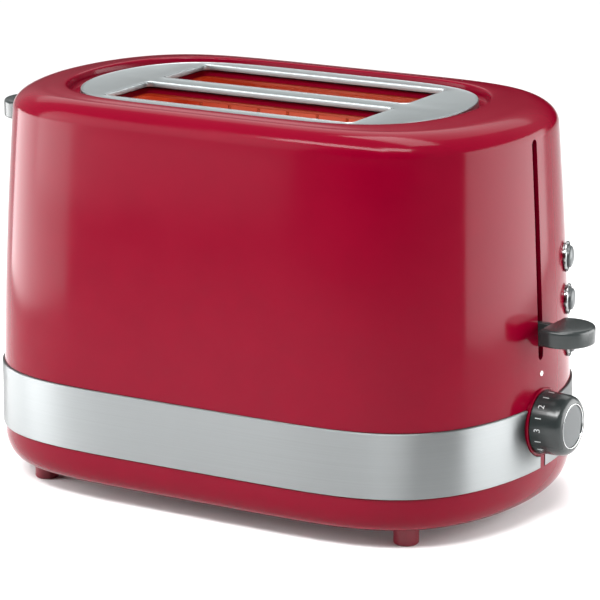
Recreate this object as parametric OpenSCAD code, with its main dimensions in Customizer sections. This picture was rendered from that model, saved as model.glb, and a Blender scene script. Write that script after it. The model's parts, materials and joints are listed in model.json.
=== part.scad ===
// Two-slot pop-up toaster with a rounded plastic casing, a steel band, a lifting bun rack,
// a latching bread carriage, hinged bread guides and a pull-out crumb tray.
// Millimetres, +Z up. The control end faces +X. The feet stand on z = 0.

/* [Body] */
// Half length of the casing at the top of the steel band
body_half_length = 137; // [136:0.5:139]
// Half width of the casing at the top of the steel band
body_half_width = 84.7; // [84:0.1:86]
// Height of the casing's rim above the table
body_height = 188.4; // [188:0.1:189]
// Wall thickness of the plastic casing
wall = 2.5; // [2:0.1:2.8]

/* [Base and feet] */
// Height of the base's underside above the table
base_bottom = 9.2; // [9:0.1:9.6]
// Height of the rounded lower edge of the base
base_round = 13.7; // [12:0.1:14]
// How far the rounded lower edge runs in under the casing
base_inset = 8; // [7:0.5:9]
// Radius of a foot
foot_r = 5.8; // [5:0.1:6.5]

/* [Steel band] */
// Lower edge of the band
band_bottom = 26.3; // [26.3:0.1:27]
// Upper edge of the band
band_top = 56.5; // [56:0.1:57]
// How far the band stands out from the casing
band_proud = 1.0; // [0.6:0.1:1.2]

/* [Bread slots] */
// Length of a bread slot
slot_length = 133.8; // [132:0.2:135]
// Distance of a slot's inner edge from the middle
slot_inner = 5.8; // [5.6:0.1:6]
// Distance of a slot's outer edge from the middle
slot_outer = 44.5; // [44.2:0.1:44.8]
// Middle of the slots along the body
slot_x = -3.7; // [-4:0.1:-3.4]

/* [Bun rack] */
// Half length of the steel slot surround
rack_half_length = 96.6; // [96:0.1:97.5]
// Half width of the steel slot surround
rack_half_width = 54.6; // [54:0.1:55]
// Height of the surround's upper face
rack_top = 186.9; // [186.6:0.1:187.2]
// How far the bun rack lifts
rack_travel = 22; // [18:0.5:22]

/* [Controls] */
// Radius of the browning dial
knob_r = 14.5; // [14:0.1:14.6]
// How far the dial stands out from the casing
knob_depth = 16.2; // [15.5:0.1:17]
// Height of the dial's axis
knob_z = 47.9; // [47.5:0.1:48.3]
// Height of the lowest push button
button_z = 75.9; // [75.5:0.1:76.5]
// Distance between push buttons
button_pitch = 20; // [19.5:0.1:20.2]
// Travel of a push button
button_travel = 1.5; // [1:0.1:1.5]
// How far the bread carriage lifts
lift_travel = 78; // [70:1:78]

/* [Hidden] */

// Colours
casing_red = [0.62, 0.04, 0.12];
steel = [0.80, 0.81, 0.80];
sheet_steel = [0.66, 0.68, 0.68];
dark_grey = [0.20, 0.22, 0.22];
mica = [0.72, 0.66, 0.52];
glowing = [0.95, 0.35, 0.12];
board_green = [0.10, 0.34, 0.20];
copper = [0.72, 0.40, 0.22];
off_white = [0.86, 0.85, 0.80];

// Casing outline: a superellipse that narrows a little towards the top
end_power = 5.3;
side_power = 2.0;
outline_steps = 72;
end_slope = 0.0323;
side_slope = 0.0353;
end_curve = 0.0001;
side_curve = 0.00031;
edge_bottom = body_height - 10.9;
shell_bottom = 26.15;
skirt_recess = 0.6;
base_top = 26.0;
foot_x = 98.7;
foot_y = 57.3;
screw_x = 80;
screw_y = 56;

// Sunken top of the casing
crease_length = 115.5;
crease_width = 64.9;
rim_length = 103;
rim_width = 58;
rim_x = -3;
rim_end_power = 5;
rack_x = -2.5;
trough_floor = 183.2;
ceiling = 180.7;
edge_steps = 5;

// Lever slit
slit_width = 4.6;
slit_bottom = 76.9;
slit_top = 178;

// Front lever and rear lever
lever_gap = 5.5;
lever_reach = 26.3;
lever_half_width = 13.8;
lever_bottom = 86.9;
lever_top = 95.2;
shank_bottom = 83.5;
rack_lever_bottom = 162.2;
rack_lever_top = 171.2;
rack_lever_z = (rack_lever_bottom + rack_lever_top) / 2;
rack_lever_reach = 24.8;
rack_slit_bottom = 138.2;

// The whole part is centred on its own box along X
front_tip = half_length((lever_bottom + lever_top) / 2) + lever_reach;
rear_tip = half_length(rack_lever_z) + rack_lever_reach;
shift_x = (rear_tip - front_tip) / 2;

// Push buttons sit square to the curved end wall
button_y = 38.5;
button_turn = 17;
button_r = 5.1;
bezel_r = 7.3;
bezel_bore = 5.4;
bezel_tube = 6.2;
plunger_x = 120.6;

// Circuit board behind the dial and the buttons
board_back = 113.2;
board_front = 114.8;

// Dial seat and the light above it
lens_z = 70.5;
collar_r = 15.8;
band_cut_r = 16.3;

// Sheet metal chamber
sheet = 1.2;
floor_z = 38;
floor_top = floor_z + sheet;
chamber_top_z = 179;
front_plate_x = 77;
rear_plate_x = -86.2;
chamber_half_width = 54;
slot_center = (slot_inner + slot_outer) / 2;
slot_front = slot_x + slot_length / 2;
slot_rear = slot_x - slot_length / 2;

// Bread guides
cage_z = 46;
cage_top = 172;
cage_offset = 12.8;
cage_shaft_r = 1.25;
cage_wire_r = 0.7;
cage_wires = 9;
cage_pitch = 16.5;
running_gap = 0.05;

// Bread carriage
rack_z = 52;
rod_x = 94;
rod_r = 3;
crossbar_x = 84;

// Bun rack mechanism
pivot_z = 150;
rocker_reach = 20;
rocker_tilt = asin(rack_travel / 2 / rocker_reach);
rocker_x = -99;
leg_x = -93;
lever_plate_x = -104;
rocker_pin_r = 1.5;
pivot_r = 2.5;

// Cord inlet
gland_x = 97;
gland_y = 26;

// Crumb tray
tray_half_width = 50;
tray_z = 14;
tray_top = 21.5;

$fn = 48;

// The ends stand upright beside the band and lean in above it
function half_length(z) =
  let (rise = max(z - band_top, 0)) body_half_length - end_slope * rise - end_curve * rise * rise;
function half_width(z) =
  body_half_width - side_slope * (z - band_top) - side_curve * pow(z - band_top, 2);

// Closed ring of points round a superellipse
function ring(a, b, n, m, z, x = 0) = [
  for (i = [0 : outline_steps - 1])
    let (t = 360 * (i + 0.5) / outline_steps, c = cos(t), s = sin(t))
      [x + a * sign(c) * pow(abs(c), 2 / n), b * sign(s) * pow(abs(s), 2 / m), z]
];

// Ring of the casing at one height, grown by a distance
function casing_ring(z, grow = 0) =
  ring(half_length(z) + grow, half_width(z) + grow, end_power, side_power, z);

// X of the casing's surface at a height and a distance from the middle
function end_surface(z, y) =
  half_length(z) * pow(1 - pow(abs(y) / half_width(z), side_power), 1 / end_power);

// Length of a push button's stem, so that all stems end in one plane
function plunger_reach(i) =
  (end_surface(button_z + i * button_pitch, button_y) - plunger_x) / cos(button_turn);

// Solid through a stack of rings
module skin(rings) {
  n = len(rings[0]);
  last = (len(rings) - 1) * n;
  points = [for (r = rings) each r];
  sides = [
    for (i = [0 : len(rings) - 2], j = [0 : n - 1])
      let (a = i * n + j, b = i * n + (j + 1) % n, c = b + n, d = a + n)
        each [[a, d, c], [a, c, b]]
  ];
  bottom = [for (j = [0 : n - 1]) j];
  top = [for (j = [n - 1 : -1 : 0]) last + j];
  polyhedron(points, concat([bottom], sides, [top]));
}

module place() {
  translate([shift_x, 0, 0]) children();
}

// Box from its lowest to its highest corner
module block(low, high) {
  translate(low) cube(high - low);
}

// Cylinder along X from one x to another
module rod_along_x(x0, x1, y, z, r) {
  translate([x0, y, z]) rotate([0, 90, 0]) cylinder(h = x1 - x0, r = r);
}

// Upright cylinder from one height to another
module post(x, y, z0, z1, r) {
  translate([x, y, z0]) cylinder(h = z1 - z0, r = r);
}

module at_screws() {
  for (x = [-screw_x, screw_x], y = [-screw_y, screw_y]) translate([x, y, 0]) children();
}

module both_slots() {
  for (side = [-1, 1]) translate([0, side * slot_center, 0]) children();
}

// Push-button frame: local +X points out of the end wall
module at_button(i) {
  z = button_z + i * button_pitch;
  translate([end_surface(z, button_y), button_y, z])
    rotate([0, 0, button_turn]) children();
}

// Rounded slot with half-round ends, cut through an end wall
module end_slit(x0, x1, z0, z1) {
  half = slit_width / 2;
  block([x0, -half, z0 + half], [x1, half, z1 - half]);
  rod_along_x(x0, x1, 0, z0 + half, half);
  rod_along_x(x0, x1, 0, z1 - half, half);
}

// ---- Casing and trim ----

module shell_skin() {
  edge = [
    for (i = [1 : edge_steps])
      let (t = 90 * i / edge_steps, z = edge_bottom + (body_height - 0.6 - edge_bottom) * sin(t),
           k = 1 - cos(t), a = half_length(edge_bottom), b = half_width(edge_bottom))
        ring(a + (crease_length - a) * k, b + (crease_width - b) * k,
             end_power + 0.7 * k, side_power - 0.2 * k, z)
  ];
  skin(concat(
    [casing_ring(shell_bottom, -skirt_recess), casing_ring(band_top, -skirt_recess)],
    [for (z = [band_top + 0.01, 90, 120, 150, edge_bottom]) casing_ring(z)],
    edge,
    [ring(rim_length + 1, rim_width + 1, rim_end_power, side_power, body_height, rim_x)]
  ));
}

module shell_hollow() {
  skin(concat(
    [for (z = [shell_bottom - 1, band_top, 90, 120, 150, 172])
      casing_ring(z, -wall - skirt_recess)],
    [ring(half_length(ceiling) - 8, half_width(ceiling) - 8, end_power, side_power, ceiling)]
  ));
}

module trough() {
  skin([
    ring(rim_length - 2.6, rim_width - 1.6, rim_end_power, side_power, trough_floor, rim_x),
    ring(rim_length - 1, rim_width - 0.6, rim_end_power, side_power, trough_floor + 2.6, rim_x),
    ring(rim_length, rim_width, rim_end_power, side_power, body_height + 0.1, rim_x)
  ]);
}

module outer_shell() {
  slot_gap = 2;
  color(casing_red) place() {
    difference() {
      union() {
        difference() {
          shell_skin();
          shell_hollow();
          trough();
        }
        // rib under the dial and collar round it
        block([half_length(band_bottom) - 3.4, -2, shell_bottom],
              [half_length(band_bottom) + 0.6, 2, band_top]);
        rod_along_x(half_length(knob_z) - 3, half_length(knob_z) + 0.9, 0, knob_z, collar_r);
        // guide walls beside the lever slits
        for (y = [-slit_width / 2 - 1.4, slit_width / 2]) {
          block([118, y, slit_bottom - 2], [half_length(slit_top) - 2, y + 1.4, ceiling + 1]);
          block([2 - half_length(slit_top), y, rack_slit_bottom - 2], [-124, y + 1.4, ceiling + 1]);
        }
      }
      rod_along_x(half_length(knob_z) - 0.4, half_length(knob_z) + 2, 0, knob_z, knob_r + 0.4);
      rod_along_x(half_length(knob_z) - 6, half_length(knob_z) + 2, 0, knob_z, 5);
      both_slots() block([slot_rear - slot_gap, -slot_outer / 2 + slot_inner / 2 - slot_gap, 175],
                         [slot_front + slot_gap, slot_outer / 2 - slot_inner / 2 + slot_gap, 190]);
      end_slit(120, 145, slit_bottom, slit_top);
      end_slit(-145, -120, rack_slit_bottom, slit_top);
      rod_along_x(130, 140, 0, lens_z, 1.2);
      for (i = [0 : 2]) at_button(i) rod_along_x(-8, 8, 0, 0, bezel_tube + 0.1);
      // passages of the bun rack's legs
      block([leg_x - 0.7, 4.4, 175], [leg_x + 2.2, 25.6, 186]);
      block([79.4, 27.2, 175], [81.8, 37.2, 186]);
    }
  }
}

module base_skin(grow = 0) {
  edge = [
    for (i = [0 : 4])
      let (t = 90 * i / 4, inset = base_inset * (1 - sin(t)))
        casing_ring(base_bottom + base_round * (1 - cos(t)), grow - inset)
  ];
  skin(concat(edge, [casing_ring(base_top, grow)]));
}

module tray_mouth(gap = 0) {
  half = tray_half_width + 2 + gap;
  block([-150, -half, tray_z - 0.4 - gap], [-110, half, tray_top + 0.6 + gap]);
}

module base_shell() {
  color(casing_red) place() difference() {
    base_skin();
    intersection() {
      base_skin(-wall);
      block([-150, -100, base_bottom + wall], [150, 100, 40]);
    }
    tray_mouth();
    post(gland_x, gland_y, 0, 20, 6);
    at_screws() post(0, 0, 0, 20, 1.7);
  }
}

module steel_band() {
  color(steel) place() difference() {
    skin([casing_ring(band_bottom, band_proud), casing_ring(band_top - 0.1, band_proud)]);
    skin([casing_ring(band_bottom - 1, -skirt_recess + 0.2),
          casing_ring(band_top + 1, -skirt_recess + 0.2)]);
    block([120, -2.3, 0], [150, 2.3, 100]);
    rod_along_x(120, 150, 0, knob_z, band_cut_r);
  }
}

module feet() {
  color(casing_red) place() for (x = [-foot_x, foot_x], y = [-foot_y, foot_y])
    translate([x, y, 0]) rotate_extrude()
      polygon([[0, 0], [foot_r - 1, 0], [foot_r, 1], [foot_r, base_bottom], [0, base_bottom]]);
}

module indicator_lens() {
  color(off_white) place()
    rod_along_x(half_length(lens_z) - 4, half_length(lens_z) + 0.3, 0, lens_z, 1.15);
}

module button_bezels() {
  color(steel) place() for (i = [0 : 2]) at_button(i) rotate([0, 90, 0]) rotate_extrude()
    polygon([[bezel_bore, -5], [bezel_tube, -5], [bezel_tube, 0.9], [bezel_r, 0.9],
             [bezel_r, 1.3], [bezel_tube, 2.2], [bezel_bore, 1.8]]);
}

module cord_gland() {
  color(dark_grey) place() translate([gland_x, gland_y, 0]) rotate_extrude()
    polygon([[3.75, base_bottom - 2], [8, base_bottom - 2], [8, base_bottom], [6, base_bottom],
             [6, base_bottom + 5], [3.75, base_bottom + 5]]);
}

module cord_wrap_hooks() {
  color(casing_red) place() for (end = [-1, 1]) {
    block([end * 45 - 3, -20, 3.5], [end * 45 + 3, 20, base_bottom]);
    block([end * 54 - 9, -20, 3.5], [end * 54 + 9, 20, 6]);
  }
}

module base_screws() {
  color(sheet_steel) place() at_screws() difference() {
    union() {
      post(0, 0, base_bottom - 2, base_bottom, 3.2);
      post(0, 0, base_bottom, base_bottom + 9, 1.5);
    }
    block([-2.2, -0.4, base_bottom - 3], [2.2, 0.4, base_bottom - 1]);
    block([-0.4, -2.2, base_bottom - 3], [0.4, 2.2, base_bottom - 1]);
  }
}

// ---- Toast chamber ----

// Floor plate on four pillars that take the base screws
module chassis_floor() {
  color(sheet_steel) place() difference() {
    union() {
      block([-112, -60, floor_z], [112, 60, floor_top]);
      at_screws() post(0, 0, base_bottom + wall, floor_z, 4);
    }
    at_screws() post(0, 0, base_bottom, base_bottom + 11, 1.55);
    both_slots() for (y = [-17.5, 1.5])
      block([-80, y, floor_z - 1], [72, y + 16, floor_top + 1]);
    block([101, -9, floor_z - 1], [113, 9, floor_top + 1]);
  }
}

// End wall of the chamber with its carriage slots and bread guide bearings
module end_plate(x) {
  color(sheet_steel) place() difference() {
    block([x, -chamber_half_width, floor_top], [x + sheet, chamber_half_width, chamber_top_z]);
    both_slots() {
      block([x - 1, -1.6, 44.4], [x + 2 * sheet, 1.6, 146]);
      for (side = [-1, 1])
        rod_along_x(x - 1, x + 2 * sheet, side * cage_offset, cage_z, cage_shaft_r + running_gap);
    }
  }
}

module front_end_plate() {
  end_plate(front_plate_x);
}

module rear_end_plate() {
  end_plate(rear_plate_x);
}

module chamber_top() {
  color(sheet_steel) place() difference() {
    block([rear_plate_x, -chamber_half_width, chamber_top_z],
          [front_plate_x + sheet, chamber_half_width, chamber_top_z + sheet]);
    both_slots() block([slot_rear - 2, slot_inner / 2 - slot_outer / 2 - 2, 170],
                       [slot_front + 2, slot_outer / 2 - slot_inner / 2 + 2, 190]);
  }
}

module side_reflector(side) {
  y = side * (chamber_half_width - 0.4);
  color(sheet_steel) place()
    block([rear_plate_x + sheet, y - 0.4, floor_top], [front_plate_x, y + 0.4, chamber_top_z]);
}

module side_reflector_left() {
  side_reflector(-1);
}

module side_reflector_right() {
  side_reflector(1);
}

module heater_card(y) {
  color(mica) place()
    block([rear_plate_x + sheet, y - 0.4, 52], [front_plate_x, y + 0.4, 174]);
}

// Ribbon turns on one face of a card
module ribbon(y, side) {
  for (z = [60 : 9 : 168])
    block([-78, min(y, y + side * 0.4), z], [70, max(y, y + side * 0.4), z + 1.4]);
}

module heater_card_left() {
  heater_card(-49.6);
}

module heater_card_center() {
  heater_card(0);
}

module heater_card_right() {
  heater_card(49.6);
}

module heating_wires_left() {
  color(glowing) place() ribbon(-49.2, 1);
}

module heating_wires_center() {
  color(glowing) place() {
    ribbon(0.4, 1);
    ribbon(-0.4, -1);
  }
}

module heating_wires_right() {
  color(glowing) place() ribbon(49.2, -1);
}

// Wire guide beside a slot: shaft at the bottom, uprights and a top wire
module guide_cage(y) {
  first = slot_x - cage_pitch * (cage_wires - 1) / 2;
  last = slot_x + cage_pitch * (cage_wires - 1) / 2;
  color(sheet_steel) place() {
    rod_along_x(rear_plate_x - 2, front_plate_x + sheet + 2, y, cage_z, cage_shaft_r);
    for (i = [0 : cage_wires - 1]) post(first + i * cage_pitch, y, cage_z, cage_top, cage_wire_r);
    rod_along_x(first - 2, last + 2, y, cage_top, cage_wire_r + 0.2);
  }
}

module guide_cage_left_outer() {
  guide_cage(-slot_center - cage_offset);
}

module guide_cage_left_inner() {
  guide_cage(-slot_center + cage_offset);
}

module guide_cage_right_inner() {
  guide_cage(slot_center - cage_offset);
}

module guide_cage_right_outer() {
  guide_cage(slot_center + cage_offset);
}

// ---- Lift carriage ----

module carriage_slide() {
  color(sheet_steel) place() difference() {
    union() {
      block([crossbar_x, -32, 48], [crossbar_x + 1.5, 32, 60]);
      block([crossbar_x, -6, 48], [crossbar_x + 1.5, 6, 98]);
      block([crossbar_x, -6, 66], [100, 6, 98]);
      block([100, -1, shank_bottom + 1.5], [half_length(90) - 4, 1, lever_top - 1.5]);
      // ear that the spring pulls on
      block([crossbar_x + 1, -24, 48], [95, -20, 49.2]);
    }
    post(rod_x, 0, 60, 100, 4.5);
  }
}

// Slide bushes pressed into the carriage
module guide_bushes() {
  color(off_white) place() for (z = [66, 92]) difference() {
    post(rod_x, 0, z, z + 6, 4.5);
    post(rod_x, 0, z - 1, z + 7, rod_r + running_gap);
  }
}

module bread_rack(y) {
  color(sheet_steel) place() {
    block([-90, y - 0.6, rack_z - 4], [crossbar_x, y + 0.6, rack_z + 4]);
    for (i = [0 : 8])
      block([slot_x - 66 + i * 16, y - 9, rack_z + 4], [slot_x - 62 + i * 16, y + 9, rack_z + 5]);
  }
}

module bread_rack_left() {
  bread_rack(-slot_center);
}

module bread_rack_right() {
  bread_rack(slot_center);
}

// Paddle seen from above: a disc whose inner side is cut off straight
module paddle_outline(inner, outer, half) {
  intersection() {
    translate([outer - half, 0]) circle(r = half);
    translate([inner, -half]) square([outer - inner, 2 * half]);
  }
}

module lever_knob() {
  root = half_length(90) - 4;
  inner = half_length(90) + lever_gap;
  color(dark_grey) place() {
    translate([0, 0, lever_bottom]) linear_extrude(lever_top - lever_bottom - 1)
      paddle_outline(inner, front_tip, lever_half_width);
    translate([0, 0, lever_top - 1]) linear_extrude(1)
      paddle_outline(inner + 1, front_tip - 1, lever_half_width - 1);
    difference() {
      block([root - 6, -2, shank_bottom], [inner + 4, 2, lever_top]);
      block([root - 7, -1, shank_bottom + 1.5], [root, 1, lever_top - 1.5]);
      block([inner, -3, shank_bottom - 1], [inner + 5, 3, lever_bottom]);
    }
  }
}

// Iron plate that the magnet holds down
module armature() {
  color(sheet_steel) place() {
    block([100, -8, 62], [112, 8, 64]);
    block([100, -4, 64], [102, 4, shank_bottom + 1.5]);
  }
}

module guide_rod() {
  color(steel) place() post(rod_x, 0, floor_top, 178.5, rod_r);
}

module mechanism_bracket() {
  color(sheet_steel) place() difference() {
    union() {
      block([front_plate_x + sheet, -27, 176.4], [104, 27, 177.6]);
      block([front_plate_x + sheet, -27, 166], [front_plate_x + 2 * sheet, 27, 176.4]);
    }
    post(rod_x, 0, 170, 180, rod_r);
    // the carriage's top clears the flange
    block([front_plate_x, -8, 150], [82, 8, 176.4]);
  }
}

// Tension spring as a round wire swept along a helix
module lift_spring() {
  coil_r = 3.6;
  wire_r = 0.5;
  turns = 22;
  steps = 12;
  sides = 6;
  low = 50;
  high = 175.8;
  count = turns * steps;
  rings = [
    for (i = [0 : count])
      let (t = 360 * i / steps, z = low + (high - low) * i / count)
        [for (j = [0 : sides - 1])
          let (u = 360 * j / sides, r = coil_r + wire_r * cos(u))
            [r * cos(t), r * sin(t), z + wire_r * sin(u)]]
  ];
  color(steel) place() translate([92, -22, 0]) mirror([0, 1, 0]) skin(rings);
}

module magnet_core() {
  color(sheet_steel) place() {
    block([100.5, -8, 58], [111.5, 8, 61.6]);
    block([102, -3, floor_top], [110, 3, 58]);
  }
}

module magnet_coil() {
  color(copper) place() difference() {
    block([101.5, -7, 43], [110.5, 7, 57.5]);
    block([101.9, -3.1, 42], [110.1, 3.1, 58]);
  }
}

// ---- Controls ----

module browning_knob() {
  face = half_length(knob_z) + 0.2;
  tip = half_length(knob_z) + knob_depth;
  round_r = 3;
  profile = concat(
    [[11, 0], [knob_r, 0], [knob_r, tip - face - round_r]],
    [for (i = [1 : 5]) let (t = 18 * i)
      [knob_r - round_r * (1 - cos(t)), tip - face - round_r * (1 - sin(t))]],
    [[11, tip - face]]
  );
  color(dark_grey) place() {
    translate([face, 0, knob_z]) rotate([0, 90, 0]) rotate_extrude() polygon(profile);
    rod_along_x(face + 6, face + 8, 0, knob_z, 11.2);
    rod_along_x(half_length(knob_z) - 4, face + 6.5, 0, knob_z, 3);
  }
}

module knob_cap() {
  tip = half_length(knob_z) + knob_depth;
  color(dark_grey) place() rod_along_x(tip - 6, tip - 0.6, 0, knob_z, 10.2);
}

module knob_ring() {
  tip = half_length(knob_z) + knob_depth;
  color(steel) place() translate([tip - 4, 0, knob_z]) rotate([0, 90, 0]) difference() {
    cylinder(h = 3.7, r = 10.9);
    translate([0, 0, -1]) cylinder(h = 6, r = 10.25);
  }
}

module potentiometer() {
  color(off_white) place() difference() {
    union() {
      block([board_front, -8, knob_z - 8], [124, 8, knob_z + 8]);
      rod_along_x(124, 132.6, 0, knob_z, 4.6);
    }
    rod_along_x(126.5, 134, 0, knob_z, 3.1);
  }
}

module push_button(i) {
  color(dark_grey) place() at_button(i) {
    rotate([0, 90, 0]) rotate_extrude()
      polygon([[0, -6], [button_r, -6], [button_r, 2.6], [4.6, 3.3], [3.4, 3.8], [1.8, 4.1],
               [0, 4.2]]);
    rod_along_x(-plunger_reach(i), -6, 0, 0, 1.6);
  }
}

module cancel_button() {
  push_button(0);
}

module reheat_button() {
  push_button(1);
}

module defrost_button() {
  push_button(2);
}

module push_switches() {
  y = 35.4;
  color(off_white) place() for (i = [0 : 2]) translate([0, y, button_z + i * button_pitch]) {
    block([board_front, -3, -3], [board_front + 2.8, 3, 3]);
    rod_along_x(board_front + 2.8, board_front + 3.8, 0, 0, 1.4);
  }
}

// L-shaped board: a foot behind the dial and an arm behind the push buttons
module circuit_board() {
  color(board_green) place() {
    block([board_back, -40, 30], [board_front, 46, 70]);
    block([board_back, 25, 70], [board_front, 46, 125]);
  }
}

module board_components() {
  color(dark_grey) place() {
    block([board_front, -36, 34], [board_front + 6, -20, 50]);
    rod_along_x(board_front, board_front + 9, 20, 42, 4);
    rod_along_x(board_front, board_front + 9, 31, 42, 4);
    block([board_front, 28, 54], [board_front + 5, 42, 64]);
  }
}

module terminal_block() {
  color(off_white) place() difference() {
    block([96, 34, floor_top], [110, 56, 50]);
    for (y = [39, 45, 51]) post(103, y, 43, 52, 1.8);
  }
}

module lead_wires() {
  color(copper) place() for (i = [0 : 2]) {
    y = 39 + i * 6;
    rod_along_x(front_plate_x + sheet, 96, y, 45 - (i == 1 ? 0 : 2.4), 1.1);
  }
}

// ---- Bun rack ----

module rack_outline(grow = 0) {
  points = ring(rack_half_length + grow, rack_half_width + grow, 5.2, side_power, 0, rack_x);
  polygon([for (p = points) [p[0], p[1]]]);
}

// Outline of one slot with rounded corners, grown by a distance
module slot_outline(grow = 0) {
  half = (slot_outer - slot_inner) / 2 + grow;
  corner = 3 + grow;
  for (y = [corner - half, half - corner])
    for (x = [slot_rear - grow + corner, slot_front + grow - corner])
      translate([x, y]) circle(r = corner);
  translate([slot_rear - grow + corner, -half])
    square([slot_length + 2 * grow - 2 * corner, 2 * half]);
  translate([slot_rear - grow, corner - half])
    square([slot_length + 2 * grow, 2 * half - 2 * corner]);
}

module rack_plate() {
  lip = 1.0;
  color(sheet_steel) place() difference() {
    union() {
      translate([0, 0, rack_top - 1.2]) linear_extrude(1.2) rack_outline();
      translate([0, 0, trough_floor + 0.6]) linear_extrude(rack_top - trough_floor - 1)
        difference() {
          rack_outline();
          rack_outline(-1.2);
        }
      both_slots() translate([0, 0, ceiling]) linear_extrude(rack_top - ceiling - 0.6)
        slot_outline(lip);
    }
    both_slots() translate([0, 0, ceiling - 1]) linear_extrude(20) slot_outline();
  }
}

module rack_leg_front() {
  color(sheet_steel) place() block([80, 27.8, 140], [81.2, 36.6, rack_top - 1.2]);
}

module rack_leg_rear() {
  color(sheet_steel) place() difference() {
    block([leg_x, 5, 130], [leg_x + 1.5, 25, rack_top - 1.2]);
    rocker_slot(leg_x, 1);
  }
}

// Level slot that a rocker pin slides in
module rocker_slot(x, side) {
  low = rocker_reach * cos(rocker_tilt) - rocker_pin_r - 0.6;
  high = rocker_reach + rocker_pin_r + 0.6;
  z = pivot_z - side * rocker_reach * sin(rocker_tilt);
  block([x - 1, min(side * low, side * high), z - 2], [x + 3, max(side * low, side * high), z + 2]);
}

module rocker_pin() {
  color(steel) place() {
    rod_along_x(rear_plate_x - 13.6, rear_plate_x, 0, pivot_z, pivot_r);
    rod_along_x(rear_plate_x - 15, rear_plate_x - 13.6, 0, pivot_z, 4);
    rod_along_x(rear_plate_x - 10, rear_plate_x, 0, pivot_z, 3.6);
  }
}

module rocker_arm() {
  color(sheet_steel) place() translate([0, 0, pivot_z]) rotate([-rocker_tilt, 0, 0])
    difference() {
      union() {
        block([rocker_x, -rocker_reach, -3.5], [rocker_x + 2, rocker_reach, 3.5]);
        rod_along_x(rocker_x, rocker_x + 2, 0, 0, 5.5);
        rod_along_x(rocker_x, leg_x + 2.5, rocker_reach, 0, rocker_pin_r);
        rod_along_x(lever_plate_x - 0.8, rocker_x + 2, -rocker_reach, 0, rocker_pin_r);
      }
      rod_along_x(rocker_x - 1, rocker_x + 3, 0, 0, pivot_r + running_gap);
    }
}

module rack_lever_slide() {
  root = -half_length(rack_lever_z);
  color(sheet_steel) place() difference() {
    union() {
      block([lever_plate_x, -26, 152], [lever_plate_x + 1.2, -10, 174]);
      block([lever_plate_x, -26, 165], [lever_plate_x + 1.2, 1, 174]);
      block([root + 4, -1, rack_lever_bottom + 1.5],
            [lever_plate_x + 0.6, 1, rack_lever_top - 1.5]);
    }
    rocker_slot(lever_plate_x, -1);
  }
}

module rack_lever_knob() {
  tip = rear_tip;
  root = half_length(rack_lever_z) - 4;
  inner = half_length(rack_lever_z) + lever_gap;
  color(dark_grey) place() mirror([1, 0, 0]) {
    translate([0, 0, rack_lever_bottom]) linear_extrude(rack_lever_top - rack_lever_bottom - 1)
      paddle_outline(inner, tip, lever_half_width);
    translate([0, 0, rack_lever_top - 1]) linear_extrude(1)
      paddle_outline(inner + 1, tip - 1, lever_half_width - 1);
    difference() {
      block([root - 5, -2, rack_lever_bottom], [inner + 1, 2, rack_lever_top]);
      block([root - 6, -1, rack_lever_bottom + 1.5], [root, 1, rack_lever_top - 1.5]);
    }
  }
}

// ---- Crumb tray ----

module crumb_tray() {
  color(sheet_steel) place() {
    difference() {
      block([-118, -tray_half_width, tray_z], [72, tray_half_width, tray_top]);
      block([-117, 1 - tray_half_width, tray_z + 1], [71, tray_half_width - 1, tray_top + 1]);
    }
    difference() {
      intersection() {
        base_skin();
        tray_mouth(-0.4);
      }
      block([-118, -70, 0], [0, 70, 40]);
    }
  }
}

outer_shell();
base_shell();
steel_band();
feet();
indicator_lens();
button_bezels();
cord_gland();
cord_wrap_hooks();
base_screws();
chassis_floor();
front_end_plate();
rear_end_plate();
chamber_top();
side_reflector_left();
side_reflector_right();
heater_card_left();
heater_card_center();
heater_card_right();
heating_wires_left();
heating_wires_center();
heating_wires_right();
guide_cage_left_outer();
guide_cage_left_inner();
guide_cage_right_inner();
guide_cage_right_outer();
carriage_slide();
guide_bushes();
bread_rack_left();
bread_rack_right();
lever_knob();
armature();
guide_rod();
mechanism_bracket();
lift_spring();
magnet_core();
magnet_coil();
browning_knob();
knob_cap();
knob_ring();
potentiometer();
defrost_button();
reheat_button();
cancel_button();
push_switches();
circuit_board();
board_components();
terminal_block();
lead_wires();
rack_plate();
rack_leg_front();
rack_leg_rear();
rocker_pin();
rocker_arm();
rack_lever_slide();
rack_lever_knob();
crumb_tray();
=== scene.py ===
import json
import math

import bmesh
import bpy
from mathutils import Matrix, Vector


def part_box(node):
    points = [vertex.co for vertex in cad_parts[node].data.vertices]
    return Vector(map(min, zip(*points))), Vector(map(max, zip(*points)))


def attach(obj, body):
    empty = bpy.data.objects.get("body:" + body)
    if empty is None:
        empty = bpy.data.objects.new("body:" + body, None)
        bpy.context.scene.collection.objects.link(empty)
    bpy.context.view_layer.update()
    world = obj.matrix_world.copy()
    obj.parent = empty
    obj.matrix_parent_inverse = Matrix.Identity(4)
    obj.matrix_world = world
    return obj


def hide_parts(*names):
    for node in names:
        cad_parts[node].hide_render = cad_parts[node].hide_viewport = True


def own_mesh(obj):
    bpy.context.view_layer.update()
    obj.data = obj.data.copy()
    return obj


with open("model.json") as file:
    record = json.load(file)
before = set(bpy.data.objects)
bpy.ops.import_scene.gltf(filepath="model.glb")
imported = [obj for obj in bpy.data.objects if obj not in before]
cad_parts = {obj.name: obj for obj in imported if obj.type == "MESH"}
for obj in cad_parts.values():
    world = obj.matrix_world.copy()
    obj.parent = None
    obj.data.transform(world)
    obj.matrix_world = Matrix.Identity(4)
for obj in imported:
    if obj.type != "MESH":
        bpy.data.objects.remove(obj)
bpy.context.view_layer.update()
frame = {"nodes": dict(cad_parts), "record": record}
nodes = frame["nodes"]

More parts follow.
